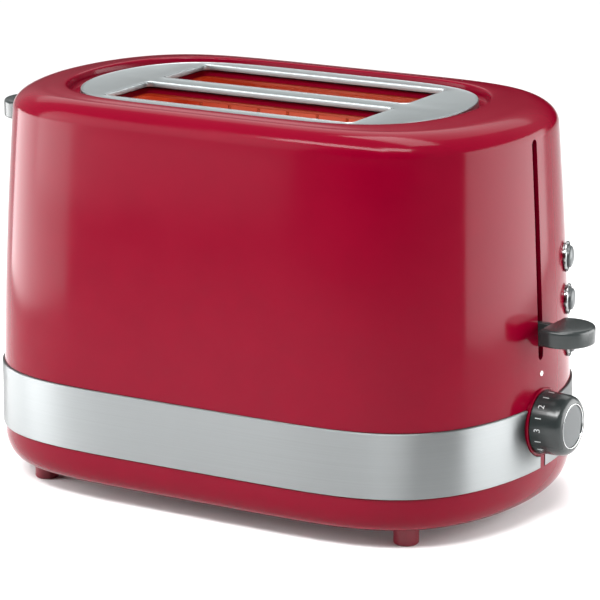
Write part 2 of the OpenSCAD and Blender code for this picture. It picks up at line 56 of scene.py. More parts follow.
# ---------------------------------------------------------------------------
# Sizes in millimetres. X is measured from the middle of the casing, and the
# frame gives the casing's place along X and the heights of the main pieces.
# ---------------------------------------------------------------------------
MM = 0.001
band_low, band_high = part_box("steel_band")
BODY_X = (band_low.x + band_high.x) / 2 / MM
BAND_BOTTOM = band_low.z / MM
BAND_TOP = 56.5
BAND_PROUD = 0.9
BODY_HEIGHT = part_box("outer_shell")[1].z / MM
BASE_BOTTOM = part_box("base_shell")[0].z / MM
BASE_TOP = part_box("base_shell")[1].z / MM

# Casing: a superellipse in plan whose ends and sides lean in as they rise
HALF_LENGTH = 137.0
HALF_WIDTH = 84.7
END_POWER = 5.3
SIDE_POWER = 2.0
END_SLOPE, SIDE_SLOPE = 0.0323, 0.0353
END_CURVE, SIDE_CURVE = 0.0001, 0.00031
OUTLINE_STEPS = 288
WALL = 2.5
SKIRT_RECESS = 0.6
SHELL_BOTTOM = 26.15
RIB_HALF = 2.0
RIB_PROUD = 0.6
RIB_CLEARANCE = 0.3

# Top of the casing: round edge, crease, gently domed deck, rim and sunken trough
EDGE_BOTTOM = BODY_HEIGHT - 10.9
DECK_RISE = 0.6
CREASE_LENGTH, CREASE_WIDTH = 115.5, 64.9
CREASE_POWERS = (END_POWER + 0.7, SIDE_POWER - 0.2)
RIM_LENGTH, RIM_WIDTH, RIM_X = 103.0, 58.0, -3.0
RIM_POWERS = (5.0, SIDE_POWER)
RIM_ROUND = 1.2
TROUGH_FLOOR = 183.2
TROUGH_ROUND = 2.4
CEILING = 180.7

# Base
BASE_ROUND = 13.7
BASE_INSET = 8.0
TRAY_HALF_WIDTH = 52.0
TRAY_OPENING_BOTTOM, TRAY_OPENING_TOP = 13.6, 22.1
FOOT_X, FOOT_Y = 98.7, 57.3
FOOT_R = 5.8

# Slits of the two levers
SLIT_HALF = 2.3
SLIT_BOTTOM, SLIT_TOP = 76.9, 178.0
REAR_SLIT_BOTTOM = 138.2

# Bread slots and the bun rack's plate
SLOT_X, SLOT_LENGTH = -3.7, 133.8
SLOT_INNER, SLOT_OUTER = 5.8, 44.5
SLOT_MIDDLE = (SLOT_INNER + SLOT_OUTER) / 2
SLOT_HALF = (SLOT_OUTER - SLOT_INNER) / 2
SLOT_CORNER = 3.0
RACK_LENGTH, RACK_WIDTH, RACK_X = 96.6, 54.6, -2.5
RACK_POWERS = (5.2, SIDE_POWER)
RACK_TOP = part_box("rack_plate")[1].z / MM
RACK_SHEET = 0.9
RACK_SKIRT = 2.6

# Dial
KNOB_Z = 47.9
KNOB_R = 14.5
KNOB_DEPTH = 16.2
KNOB_DRAFT = 0.7
KNOB_SEAT = 0.2
CAP_R = 9.8
RING_R = 10.5
COLLAR_R = 15.8
BAND_CUT_R = 16.3
DIGIT_HEIGHT = 3.0
DIGIT_START, DIGIT_STEP = 90, 22.5
DIGIT_LINE = 4.8
DIGIT_SINK = 0.06

# Push buttons, which stand square to the casing's rounded end
BUTTON_Z, BUTTON_PITCH, BUTTON_Y = 75.9, 20.0, 38.5
BUTTON_TURN = math.radians(17)
BUTTON_R = 5.1
BEZEL_BORE_R, BEZEL_TUBE_R, BUTTON_HOLE_R = 5.4, 6.2, 6.3
PLUNGER_X, PLUNGER_R = 120.6, 1.6

# Levers
LEVER_BOTTOM, LEVER_TOP, SHANK_BOTTOM = 86.9, 95.2, 83.5
LEVER_GAP, LEVER_REACH, LEVER_HALF = 5.5, 26.3, 13.8
LEVER_CROWN = 0.25
LEVER_TOP_ROUND, LEVER_UNDER_ROUND = 1.7, 1.0
SHANK_HALF = 2.0
REAR_LEVER_BOTTOM, REAR_LEVER_TOP, REAR_LEVER_REACH = 162.2, 171.2, 24.8


def half_length(z):
    """Distance from the middle to the end wall at a height."""
    rise = max(z - BAND_TOP, 0)
    return HALF_LENGTH - END_SLOPE * rise - END_CURVE * rise * rise


def half_width(z):
    """Distance from the middle to the side wall at a height."""
    rise = z - BAND_TOP
    return HALF_WIDTH - SIDE_SLOPE * rise - SIDE_CURVE * rise * rise


def end_surface(z, y):
    """X of the end wall at a height and a distance from the middle."""
    share = 1 - (abs(y) / half_width(z)) ** SIDE_POWER
    return half_length(z) * share ** (1 / END_POWER)


def signed_power(value, power):
    return math.copysign(abs(value) ** power, value)


def even_angles(a, b, n, m, count):
    """Parameters of a superellipse that are evenly spaced along its length."""
    fine = 7200
    points = []
    for i in range(fine + 1):
        t = 2 * math.pi * (i + 0.5) / fine
        points.append((a * signed_power(math.cos(t), 2 / n), b * signed_power(math.sin(t), 2 / m)))
    lengths = [0.0]
    for p, q in zip(points, points[1:]):
        lengths.append(lengths[-1] + math.dist(p, q))
    angles, k = [], 0
    for i in range(count):
        target = lengths[-1] * i / count
        while lengths[k + 1] < target:
            k += 1
        part = (target - lengths[k]) / max(lengths[k + 1] - lengths[k], 1e-9)
        angles.append(2 * math.pi * (k + part + 0.5) / fine)
    return angles


ANGLES = even_angles(HALF_LENGTH, HALF_WIDTH, END_POWER, SIDE_POWER, OUTLINE_STEPS)


def ring(a, b, n, m, z, x=0.0, angles=ANGLES):
    """Superellipse at height z with half axes a and b and powers n and m."""
    return [
        (x + a * signed_power(math.cos(t), 2 / n), b * signed_power(math.sin(t), 2 / m), z)
        for t in angles
    ]


def casing_ring(z, grow=0.0):
    """Outline of the casing at height z, grown by a distance."""
    return ring(half_length(z) + grow, half_width(z) + grow, END_POWER, SIDE_POWER, z)


# ---------------------------------------------------------------------------
# Mesh tools
# ---------------------------------------------------------------------------
def link(name, data):
    """New object in the scene that shows a mesh, curve, light or camera."""
    piece = bpy.data.objects.new(name, data)
    bpy.context.scene.collection.objects.link(piece)
    return piece


def piece_from(name, points, faces):
    """Mesh object from millimetre points measured from the middle of the casing."""
    mesh = bpy.data.meshes.new(name)
    mesh.from_pydata([((x + BODY_X) * MM, y * MM, z * MM) for x, y, z in points], [], faces)
    work = bmesh.new()
    work.from_mesh(mesh)
    bmesh.ops.recalc_face_normals(work, faces=work.faces)
    work.to_mesh(mesh)
    work.free()
    return link(name, mesh)


def skin(name, rings):
    """Closed solid through a stack of rings, with a flat cap at each end."""
    count = len(rings[0])
    points = [p for r in rings for p in r]
    faces = [list(range(count - 1, -1, -1))]
    for i in range(len(rings) - 1):
        for j in range(count):
            a, b = i * count + j, i * count + (j + 1) % count
            faces.append((a, b, b + count, a + count))
    faces.append([(len(rings) - 1) * count + j for j in range(count)])
    return piece_from(name, points, faces)


def smooth(piece, angle=32):
    """Smooth shading, with edges over the angle in degrees left sharp."""
    piece.data.shade_smooth()
    piece.data.set_sharp_from_angle(angle=math.radians(angle))
    return piece


def combine(piece, tool, operation):
    """Boolean of a piece with a tool, which is then removed."""
    modifier = piece.modifiers.new("cut", "BOOLEAN")
    modifier.operation = operation
    modifier.solver = "EXACT"
    modifier.object = tool
    bpy.context.view_layer.update()
    shape = bpy.data.meshes.new_from_object(
        piece.evaluated_get(bpy.context.evaluated_depsgraph_get())
    )
    piece.modifiers.clear()
    piece.data = shape
    bpy.data.objects.remove(tool)


def box_tool(low, high):
    """Plain box for cutting or joining."""
    (x0, y0, z0), (x1, y1, z1) = low, high
    points = [(x, y, z) for x in (x0, x1) for y in (y0, y1) for z in (z0, z1)]
    faces = [(0, 1, 3, 2), (4, 6, 7, 5), (0, 4, 5, 1), (2, 3, 7, 6), (0, 2, 6, 4), (1, 5, 7, 3)]
    return piece_from("tool", points, faces)


def lathe(name, profile, place, steps=96):
    """Solid turned round local X; the profile's (along, radius) points start and end on the
    axis, or make a closed tube where the first one is off it."""
    points, faces = [], []
    inner = [p for p in profile if p[1] > 1e-6]
    for along, radius in inner:
        for j in range(steps):
            t = 2 * math.pi * j / steps
            points.append((along, radius * math.cos(t), radius * math.sin(t)))
    for i in range(len(inner) - 1):
        for j in range(steps):
            a, b = i * steps + j, i * steps + (j + 1) % steps
            faces.append((a, b, b + steps, a + steps))
    if profile[0][1] < 1e-6:
        faces.append(list(range(steps)))
        faces.append([(len(inner) - 1) * steps + j for j in range(steps)])
    else:
        last = (len(inner) - 1) * steps
        for j in range(steps):
            faces.append((last + j, last + (j + 1) % steps, (j + 1) % steps, j))
    placed = [tuple(place @ Vector(p)) for p in points]
    return piece_from(name, placed, faces)


def along_x(x, y, z, turn=0.0):
    """Frame whose local X points out of the end wall."""
    return Matrix.Translation((x, y, z)) @ Matrix.Rotation(turn, 4, "Z")


def arc(center, radius, start, stop, steps):
    """Points (along, radius) on an arc; angles in degrees."""
    return [
        (
            center[0] + radius * math.cos(math.radians(start + (stop - start) * i / steps)),
            center[1] + radius * math.sin(math.radians(start + (stop - start) * i / steps)),
        )
        for i in range(steps + 1)
    ]


def slit_tool(x0, x1, z0, z1, half):
    """Upright slot with half-round ends, along X."""
    outline = []
    for i in range(13):
        t = math.pi * i / 12
        outline.append((half * math.cos(t), z1 - half + half * math.sin(t)))
    for i in range(13):
        t = math.pi + math.pi * i / 12
        outline.append((half * math.cos(t), z0 + half + half * math.sin(t)))
    rings = [[(x, y, z) for y, z in outline] for x in (x0, x1)]
    return skin("tool", rings)


def slot_ring(grow, z, middle):
    """Rounded rectangle round one bread slot."""
    half, corner = SLOT_HALF + grow, SLOT_CORNER + grow
    reach = SLOT_LENGTH / 2 + grow
    points = []
    for sx, sy, start in ((1, 1, 0), (-1, 1, 90), (-1, -1, 180), (1, -1, 270)):
        for i in range(13):
            t = math.radians(start + 90 * i / 12)
            points.append(
                (
                    SLOT_X + sx * (reach - corner) + corner * math.cos(t),
                    middle + sy * (half - corner) + corner * math.sin(t),
                    z,
                )
            )
    return points


# ---------------------------------------------------------------------------
# Materials: each one is procedural, with its own grain in colour, roughness and bump
# ---------------------------------------------------------------------------
def grain_material(name, colour, rough, metallic=0.0, spread=0.04, scale=(400, 400, 400),
                   bump=0.02, rough_spread=0.05, specular=0.5, glow=None, glow_strength=0.0,
                   anisotropic=0.0):
    """Principled material with stretched noise in its colour, roughness and bump."""
    material = bpy.data.materials.new(name)
    material.use_nodes = True
    tree = material.node_tree
    shader = tree.nodes["Principled BSDF"]
    place = tree.nodes.new("ShaderNodeTexCoord")
    stretch = tree.nodes.new("ShaderNodeMapping")
    stretch.inputs["Scale"].default_value = scale
    grain = tree.nodes.new("ShaderNodeTexNoise")
    grain.inputs["Scale"].default_value = 1.0
    grain.inputs["Detail"].default_value = 4.0
    tree.links.new(place.outputs["Object"], stretch.inputs["Vector"])
    tree.links.new(stretch.outputs["Vector"], grain.inputs["Vector"])
    tint = tree.nodes.new("ShaderNodeValToRGB")
    tint.color_ramp.elements[0].position = 0.3
    tint.color_ramp.elements[1].position = 0.7
    tint.color_ramp.elements[0].color = [c * (1 - spread) for c in colour] + [1]
    tint.color_ramp.elements[1].color = [min(1, c * (1 + spread)) for c in colour] + [1]
    tree.links.new(grain.outputs["Fac"], tint.inputs["Fac"])
    tree.links.new(tint.outputs["Color"], shader.inputs["Base Color"])
    finish = tree.nodes.new("ShaderNodeMapRange")
    finish.inputs["From Min"].default_value = 0.3
    finish.inputs["From Max"].default_value = 0.7
    finish.inputs["To Min"].default_value = max(0.02, rough - rough_spread)
    finish.inputs["To Max"].default_value = rough + rough_spread
    tree.links.new(grain.outputs["Fac"], finish.inputs["Value"])
    tree.links.new(finish.outputs["Result"], shader.inputs["Roughness"])
    relief = tree.nodes.new("ShaderNodeBump")
    relief.inputs["Strength"].default_value = bump
    relief.inputs["Distance"].default_value = 0.0002
    tree.links.new(grain.outputs["Fac"], relief.inputs["Height"])
    tree.links.new(relief.outputs["Normal"], shader.inputs["Normal"])
    shader.inputs["Metallic"].default_value = metallic
    shader.inputs["Specular IOR Level"].default_value = specular
    shader.inputs["Anisotropic"].default_value = anisotropic
    shader.inputs["Anisotropic Rotation"].default_value = 0.25 if anisotropic else 0.0
    if glow:
        shader.inputs["Emission Color"].default_value = (*glow, 1)
        shader.inputs["Emission Strength"].default_value = glow_strength
    return material


RED = (0.116, 0.0001, 0.0080)
gloss_red = grain_material("gloss_red", RED, 0.14, spread=0.03, scale=(60, 60, 60), bump=0.01,
                           rough_spread=0.02, specular=0.09)
satin_red = grain_material("satin_red", RED, 0.35, spread=0.05, scale=(300, 300, 300), bump=0.05,
                           specular=0.35)
brushed_band = grain_material("brushed_band", (0.20, 0.21, 0.212), 0.46, metallic=1.0,
                              spread=0.05, scale=(9, 9, 2600), bump=0.03, rough_spread=0.04,
                              anisotropic=0.95)
satin_rack = grain_material("satin_rack", (0.33, 0.36, 0.365), 0.38, metallic=1.0, spread=0.03,
                            scale=(14, 1800, 1800), bump=0.01, rough_spread=0.03)
dark_gloss = grain_material("dark_gloss", (0.016, 0.020, 0.020), 0.22, spread=0.04,
                            scale=(1500, 1500, 1500), bump=0.01, rough_spread=0.02,
                            specular=0.35)
cap_gloss = grain_material("cap_gloss", (0.030, 0.036, 0.038), 0.32, spread=0.03,
                           scale=(1500, 1500, 1500), bump=0.01, rough_spread=0.02)
black_matte = grain_material("black_matte", (0.02, 0.02, 0.02), 0.55, scale=(700, 700, 700),
                             bump=0.08)
bright_chrome = grain_material("bright_chrome", (0.55, 0.56, 0.56), 0.14, metallic=1.0,
                               scale=(900, 900, 900), bump=0.01, rough_spread=0.03)
bezel_chrome = grain_material("bezel_chrome", (0.26, 0.27, 0.27), 0.22, metallic=1.0,
                              scale=(900, 900, 900), bump=0.01, rough_spread=0.03)
white_lens = grain_material("white_lens", (0.85, 0.84, 0.82), 0.25, scale=(500, 500, 500))
pale_moulding = grain_material("pale_moulding", (0.72, 0.70, 0.64), 0.45,
                               scale=(400, 400, 400), bump=0.05)
zinc_sheet = grain_material("zinc_sheet", (0.30, 0.30, 0.295), 0.38, metallic=1.0, spread=0.10,
                            scale=(160, 160, 160), bump=0.04, rough_spread=0.10)
# Chamber sheet steel, orange-brown, with a painted glow: its faint orange emission stands in for the
# heating ribbons' light on the sheets, which are no lamps
painted_glow_sheet = grain_material("painted_glow_sheet", (0.40, 0.22, 0.16), 0.30, metallic=1.0, spread=0.10,
                           scale=(20, 20, 500), bump=0.04, rough_spread=0.08,
                           glow=(1.0, 0.08, 0.02), glow_strength=0.16)
wire_steel = grain_material("wire_steel", (0.52, 0.50, 0.47), 0.22, metallic=1.0,
                            scale=(900, 900, 900), bump=0.03)
# Mica card with a painted glow: its orange emission stands in for the heating ribbon's light shining
# through the card
mica = grain_material("mica", (0.14, 0.045, 0.025), 0.5, spread=0.2, scale=(90, 90, 90),
                      bump=0.06, glow=(1.0, 0.065, 0.02), glow_strength=0.3)
hot_ribbon = grain_material("hot_ribbon", (0.6, 0.2, 0.08), 0.5, spread=0.2,
                            scale=(60, 60, 600), bump=0.05, glow=(1.0, 0.11, 0.02),
                            glow_strength=1.8)
laminate = grain_material("laminate", (0.02, 0.12, 0.05), 0.3, spread=0.3,
                          scale=(600, 600, 600), bump=0.06)
copper = grain_material("copper", (0.55, 0.22, 0.09), 0.3, metallic=1.0, spread=0.15,
                        scale=(60, 60, 2500), bump=0.3)
digit_print = grain_material("digit_print", (0.40, 0.42, 0.42), 0.4, scale=(900, 900, 900),
                             bump=0.02)

SLOT_MATERIALS = {
    "casing_gloss": gloss_red, "base_gloss": gloss_red, "band_steel": brushed_band,
    "foot_plastic": satin_red, "lens_plastic": white_lens, "bright_trim": bright_chrome,
    "grey_plastic": dark_gloss, "black_plastic": black_matte, "inner_plastic": pale_moulding,
    "chassis_steel": zinc_sheet, "rack_steel": satin_rack, "wire_steel": wire_steel,
    "mica_card": mica, "heating_ribbon": hot_ribbon, "spring_steel": wire_steel,
    "board_laminate": laminate, "copper_winding": copper, "screw_steel": bright_chrome,
    "tray_steel": zinc_sheet,
}
CHAMBER_NODES = ("front_end_plate", "rear_end_plate", "side_reflector_left",
                 "side_reflector_right", "chassis_floor", "chamber_top")


def dress(piece, material):
    """Give a piece its one material."""
    piece.data.materials.clear()
    piece.data.materials.append(material)
    return piece


for entry in frame["record"]["subparts"]:
    dress(nodes[entry["node"]], SLOT_MATERIALS[entry["material_slot"]])
# The chamber's sheet parts get the sheet material with the painted glow
for name in CHAMBER_NODES:
    dress(nodes[name], painted_glow_sheet)
for name in nodes:
    smooth(nodes[name], 30)


def finish_piece(piece, body, slot, material, *replaced):
    """Dress a piece, ride it on its body and hide the CAD nodes it stands for."""
    dress(piece, material)
    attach(piece, body)
    if replaced:
        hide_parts(*replaced)
    return piece


# ---------------------------------------------------------------------------
# Casing
# ---------------------------------------------------------------------------
def casing():
    """Shell from the inner ceiling down the inside, up the outside and into the trough."""
    rings = [casing_ring(CEILING, -8)]
    for z in (172, 150, 120, 90, BAND_TOP, SHELL_BOTTOM):
        rings.append(casing_ring(z, -WALL - SKIRT_RECESS))
    rings.append(casing_ring(SHELL_BOTTOM, -SKIRT_RECESS))
    rings.append(casing_ring(BAND_TOP - 0.1, -SKIRT_RECESS))
    rings.append(casing_ring(BAND_TOP, -0.25))
    rings.append(casing_ring(BAND_TOP + 0.3, -0.05))
    wall_bottom, wall_steps = BAND_TOP + 0.4, 24
    for i in range(1, wall_steps + 1):
        rings.append(casing_ring(wall_bottom + (EDGE_BOTTOM - wall_bottom) * i / wall_steps))
    a, b = half_length(EDGE_BOTTOM), half_width(EDGE_BOTTOM)
    crease_z = BODY_HEIGHT - DECK_RISE
    edge_steps = 18
    for i in range(1, edge_steps + 1):
        t = math.pi / 2 * i / edge_steps
        run = 1 - math.cos(t)
        rings.append(ring(a + (CREASE_LENGTH - a) * run, b + (CREASE_WIDTH - b) * run,
                          END_POWER + (CREASE_POWERS[0] - END_POWER) * run,
                          SIDE_POWER + (CREASE_POWERS[1] - SIDE_POWER) * run,
                          EDGE_BOTTOM + (crease_z - EDGE_BOTTOM) * math.sin(t)))
    deck_steps = 5
    for i in range(1, deck_steps + 1):
        k = i / deck_steps
        rings.append(ring(CREASE_LENGTH + (RIM_LENGTH + RIM_ROUND - CREASE_LENGTH) * k,
                          CREASE_WIDTH + (RIM_WIDTH + RIM_ROUND - CREASE_WIDTH) * k,
                          CREASE_POWERS[0] + (RIM_POWERS[0] - CREASE_POWERS[0]) * k,
                          CREASE_POWERS[1] + (RIM_POWERS[1] - CREASE_POWERS[1]) * k,
                          crease_z + DECK_RISE * math.sin(math.pi / 2 * k), RIM_X * k))
    for i in range(1, 6):
        t = math.radians(90 - 80 * i / 5)
        out = RIM_ROUND * (1 - math.cos(t))
        rings.append(ring(RIM_LENGTH + out, RIM_WIDTH + out, *RIM_POWERS,
                          BODY_HEIGHT - RIM_ROUND * (1 - math.sin(t)), RIM_X))
    for i in range(0, 7):
        t = math.radians(10 + 80 * i / 6)
        rings.append(ring(RIM_LENGTH - 0.3 - 2.2 * (1 - math.cos(t)),
                          RIM_WIDTH - 0.2 - 1.4 * (1 - math.cos(t)), *RIM_POWERS,
                          TROUGH_FLOOR + TROUGH_ROUND * (1 - math.sin(t)), RIM_X))
    piece = skin("casing", rings)
    add_dial_collar(piece)
    for side in (-1, 1):
        tool = skin("tool", [slot_ring(2, z, side * SLOT_MIDDLE) for z in (175, 188)])
        combine(piece, tool, "DIFFERENCE")
    combine(piece, slit_tool(120, 145, SLIT_BOTTOM, SLIT_TOP, SLIT_HALF), "DIFFERENCE")
    combine(piece, slit_tool(-145, -120, REAR_SLIT_BOTTOM, SLIT_TOP, SLIT_HALF), "DIFFERENCE")
    for i in range(3):
        hole = lathe("tool", [(-8, 0), (-8, BUTTON_HOLE_R), (8, BUTTON_HOLE_R), (8, 0)],
                     button_place(i))
        combine(piece, hole, "DIFFERENCE")
    return smooth(piece)


def add_dial_collar(piece):
    """Raised collar behind the dial, the rib below it and the dial's shallow seat."""
    middle = along_x(half_length(KNOB_Z), 0, KNOB_Z)
    collar = [(-3, 0), (-3, COLLAR_R), (0.6, COLLAR_R), (0.9, COLLAR_R - 0.3), (0.9, 0)]
    combine(piece, lathe("tool", collar, middle), "UNION")
    rib_x = half_length(BAND_BOTTOM)
    rib = box_tool((rib_x - 3.4, -RIB_HALF, SHELL_BOTTOM), (rib_x + RIB_PROUD, RIB_HALF, BAND_TOP))
    combine(piece, rib, "UNION")
    seat_r = KNOB_R + 0.4
    seat = lathe("tool", [(-0.4, 0), (-0.4, seat_r), (4, seat_r), (4, 0)], middle)
    combine(piece, seat, "DIFFERENCE")


def button_place(i):
    """Frame of one push button, with local X out of the casing."""
    z = BUTTON_Z + i * BUTTON_PITCH
    return along_x(end_surface(z, BUTTON_Y), BUTTON_Y, z, BUTTON_TURN)


finish_piece(casing(), "housing", "casing_gloss", gloss_red, "outer_shell")


def base():
    """Base pan, from its inner floor up the inside and down the rounded outside."""
    floor = BASE_BOTTOM + WALL
    rings = [casing_ring(floor, -WALL - 6.5), casing_ring(floor + 1.2, -WALL - 3.2),
             casing_ring(floor + 5, -WALL - 0.6), casing_ring(BASE_TOP, -WALL),
             casing_ring(BASE_TOP, -0.2), casing_ring(BASE_TOP - 0.2, 0)]
    steps = 20
    for i in range(steps, -1, -1):
        t = math.pi / 2 * i / steps
        rings.append(casing_ring(BASE_BOTTOM + BASE_ROUND * (1 - math.cos(t)),
                                 -BASE_INSET * (1 - math.sin(t))))
    piece = skin("base_pan", rings)
    opening = box_tool((-150, -TRAY_HALF_WIDTH, TRAY_OPENING_BOTTOM),
                       (-110, TRAY_HALF_WIDTH, TRAY_OPENING_TOP))
    combine(piece, opening, "DIFFERENCE")
    return smooth(piece)


finish_piece(base(), "housing", "base_gloss", gloss_red, "base_shell")


def band():
    """Closed steel strip with rounded edges, cut for the dial and the rib below it."""
    edge, steps = 0.5, 5
    top = BAND_TOP - 0.1
    inner = -SKIRT_RECESS + 0.25
    rings = [casing_ring(top, inner), casing_ring(BAND_BOTTOM, inner)]
    for i in range(steps + 1):
        t = math.pi / 2 * i / steps
        rings.append(casing_ring(BAND_BOTTOM + edge * (1 - math.cos(t)),
                                 BAND_PROUD - edge * (1 - math.sin(t))))
    for i in range(steps + 1):
        t = math.pi / 2 * (1 - i / steps)
        rings.append(casing_ring(top - edge * (1 - math.cos(t)),
                                 BAND_PROUD - edge * (1 - math.sin(t))))
    count = len(rings[0])
    points = [p for r in rings for p in r]
    faces = []
    for i in range(len(rings)):
        row, next_row = i * count, (i + 1) % len(rings) * count
        for j in range(count):
            k = (j + 1) % count
            faces.append((row + j, row + k, next_row + k, next_row + j))
    piece = piece_from("band", points, faces)
    half_gap = RIB_HALF + RIB_CLEARANCE
    combine(piece, box_tool((120, -half_gap, 0), (150, half_gap, 100)), "DIFFERENCE")
    cut = lathe("tool", [(-20, 0), (-20, BAND_CUT_R), (20, BAND_CUT_R), (20, 0)],
                along_x(half_length(KNOB_Z), 0, KNOB_Z))
    combine(piece, cut, "DIFFERENCE")
    return smooth(piece)


finish_piece(band(), "housing", "band_steel", brushed_band, "steel_band")


# ---------------------------------------------------------------------------
# Bun rack: flat steel surround with rolled outer edge and rolled slot edges
# ---------------------------------------------------------------------------
def bun_rack():
    """Flat plate with two slots, whose edges are rolled and turned down."""
    sheet = RACK_SHEET
    # Profile of a rolled edge: distance in from the edge, drop below the crest
    bead = ((1.2, 0.30), (1.05, 0.27), (0.9, 0.12), (0.75, 0.02), (0.6, 0.0), (0.42, 0.05),
            (0.24, 0.18), (0.1, 0.42), (0.0, 0.8))
    under = ((sheet, 1.4), (sheet + 0.3, 1.5), (1.9, 1.6))
    outer_angles = even_angles(RACK_LENGTH, RACK_WIDTH, *RACK_POWERS, 240)
    work = bmesh.new()

    def row(points):
        return [work.verts.new(((x + BODY_X) * MM, y * MM, z * MM)) for x, y, z in points]

    def bridge(first, second):
        count = len(first)
        for j in range(count):
            k = (j + 1) % count
            work.faces.new((first[j], first[k], second[k], second[j]))

    def edge_ring(grow, z):
        return ring(RACK_LENGTH + grow, RACK_WIDTH + grow, *RACK_POWERS, z, RACK_X, outer_angles)

    def edge_profile(low):
        """Rolled edge, straight skirt and its inner side, as (inward, height)."""
        points = [(inward, -drop) for inward, drop in bead]
        points += [(0.0, low), (sheet, low)]
        return points + [(inward, -drop) for inward, drop in under]

    outside = edge_profile(TROUGH_FLOOR + 0.6 - RACK_TOP)
    outer_rows = [row(edge_ring(-inward, RACK_TOP + height)) for inward, height in outside]
    for first, second in zip(outer_rows, outer_rows[1:]):
        bridge(first, second)
    top_loops, under_loops = [outer_rows[0]], [outer_rows[-1]]
    for side in (-1, 1):
        rows = [row(slot_ring(inward, RACK_TOP + height, side * SLOT_MIDDLE))
                for inward, height in edge_profile(-RACK_SKIRT)]
        for first, second in zip(rows, rows[1:]):
            bridge(first, second)
        top_loops.append(rows[0])
        under_loops.append(rows[-1])
    for loops in (top_loops, under_loops):
        edges = []
        for loop in loops:
            for j in range(len(loop)):
                a, b = loop[j], loop[(j + 1) % len(loop)]
                edges.append(work.edges.get((a, b)) or work.edges.new((a, b)))
        bmesh.ops.triangle_fill(work, use_beauty=True, edges=edges)
    bmesh.ops.recalc_face_normals(work, faces=work.faces)
    mesh = bpy.data.meshes.new("bun_rack_top")
    work.to_mesh(mesh)
    work.free()
    return smooth(link("bun_rack_top", mesh), 40)


finish_piece(bun_rack(), "bun_rack", "rack_steel", satin_rack, "rack_plate")


# ---------------------------------------------------------------------------
# Levers
# ---------------------------------------------------------------------------
def paddle_ring(inner, outer, half, grow, z):
    """D shape: a disc cut off straight on its inner side."""
    radius = half + grow
    center = outer - half
    cut = inner - grow
    open_angle = math.acos(max(-1.0, min(1.0, (cut - center) / radius)))
    points = []
    steps, cut_steps = 56, 12
    for i in range(steps + 1):
        t = -open_angle + 2 * open_angle * i / steps
        points.append((center + radius * math.cos(t), radius * math.sin(t), z))
    x0, y0, _ = points[-1]
    for i in range(1, cut_steps):
        points.append((x0, y0 - 2 * y0 * i / cut_steps, z))
    return points


def paddle(name, inner, outer, low, top, mirrored=False):
    """Lever's finger plate: D shape with rounded edges and a slight crown."""
    half, shoulder = LEVER_HALF, top - LEVER_CROWN
    steps, crown_steps = 8, 4
    crown_inset = (half - LEVER_TOP_ROUND - 4) * 0.55
    rings = []
    for i in range(steps + 1):
        t = math.pi / 2 * i / steps
        rings.append(paddle_ring(inner, outer, half, -LEVER_UNDER_ROUND * (1 - math.sin(t)),
                                 low + LEVER_UNDER_ROUND * (1 - math.cos(t))))
    for i in range(steps + 1):
        t = math.pi / 2 * (1 - i / steps)
        rings.append(paddle_ring(inner, outer, half, -LEVER_TOP_ROUND * (1 - math.sin(t)),
                                 shoulder - LEVER_TOP_ROUND * (1 - math.cos(t))))
    for i in range(1, crown_steps + 1):
        k = i / crown_steps
        rings.append(paddle_ring(inner, outer, half, -LEVER_TOP_ROUND - crown_inset * k,
                                 shoulder + LEVER_CROWN * math.sin(math.pi / 2 * k)))
    if mirrored:
        rings = [[(-x, y, z) for x, y, z in r] for r in rings]
    return skin(name, rings)


def front_lever():
    """Lift lever: finger plate and the shank that comes out of the slit."""
    wall_x = half_length(90)
    inner = wall_x + LEVER_GAP
    outer = half_length((LEVER_BOTTOM + LEVER_TOP) / 2) + LEVER_REACH
    piece = paddle("lift_lever", inner, outer, LEVER_BOTTOM, LEVER_TOP)
    corner = 0.8
    shank = []
    for x, low, high in ((wall_x - 10, SHANK_BOTTOM, LEVER_TOP - 0.8),
                         (inner - 2, SHANK_BOTTOM, LEVER_TOP - 0.6),
                         (inner + 1.5, SHANK_BOTTOM + 2.2, LEVER_TOP - 1.0),
                         (inner + 4, LEVER_BOTTOM + 0.8, LEVER_TOP - 1.2)):
        outline = []
        for sy, sz, start in ((1, 1, 0), (-1, 1, 90), (-1, -1, 180), (1, -1, 270)):
            for i in range(5):
                t = math.radians(start + 22.5 * i)
                y = sy * (SHANK_HALF - corner) + corner * math.cos(t)
                z = (high - corner if sz > 0 else low + corner) + corner * math.sin(t)
                outline.append((x, y, z))
        shank.append(outline)
    combine(piece, skin("tool", shank), "UNION")
    return smooth(piece)


finish_piece(front_lever(), "carriage", "grey_plastic", dark_gloss, "lever_knob")


def rear_lever():
    """Bun rack's lever at the far end, on a flat web."""
    wall_x = half_length((REAR_LEVER_BOTTOM + REAR_LEVER_TOP) / 2)
    inner = wall_x + LEVER_GAP
    piece = paddle("bun_rack_lever", inner, wall_x + REAR_LEVER_REACH,
                   REAR_LEVER_BOTTOM, REAR_LEVER_TOP, mirrored=True)
    web = box_tool((-inner - 2, -SHANK_HALF, REAR_LEVER_BOTTOM + 0.6),
                   (-wall_x + 9, SHANK_HALF, REAR_LEVER_TOP - 0.6))
    combine(piece, web, "UNION")
    return smooth(piece)


finish_piece(rear_lever(), "rack_lever", "grey_plastic", dark_gloss, "rack_lever_knob")


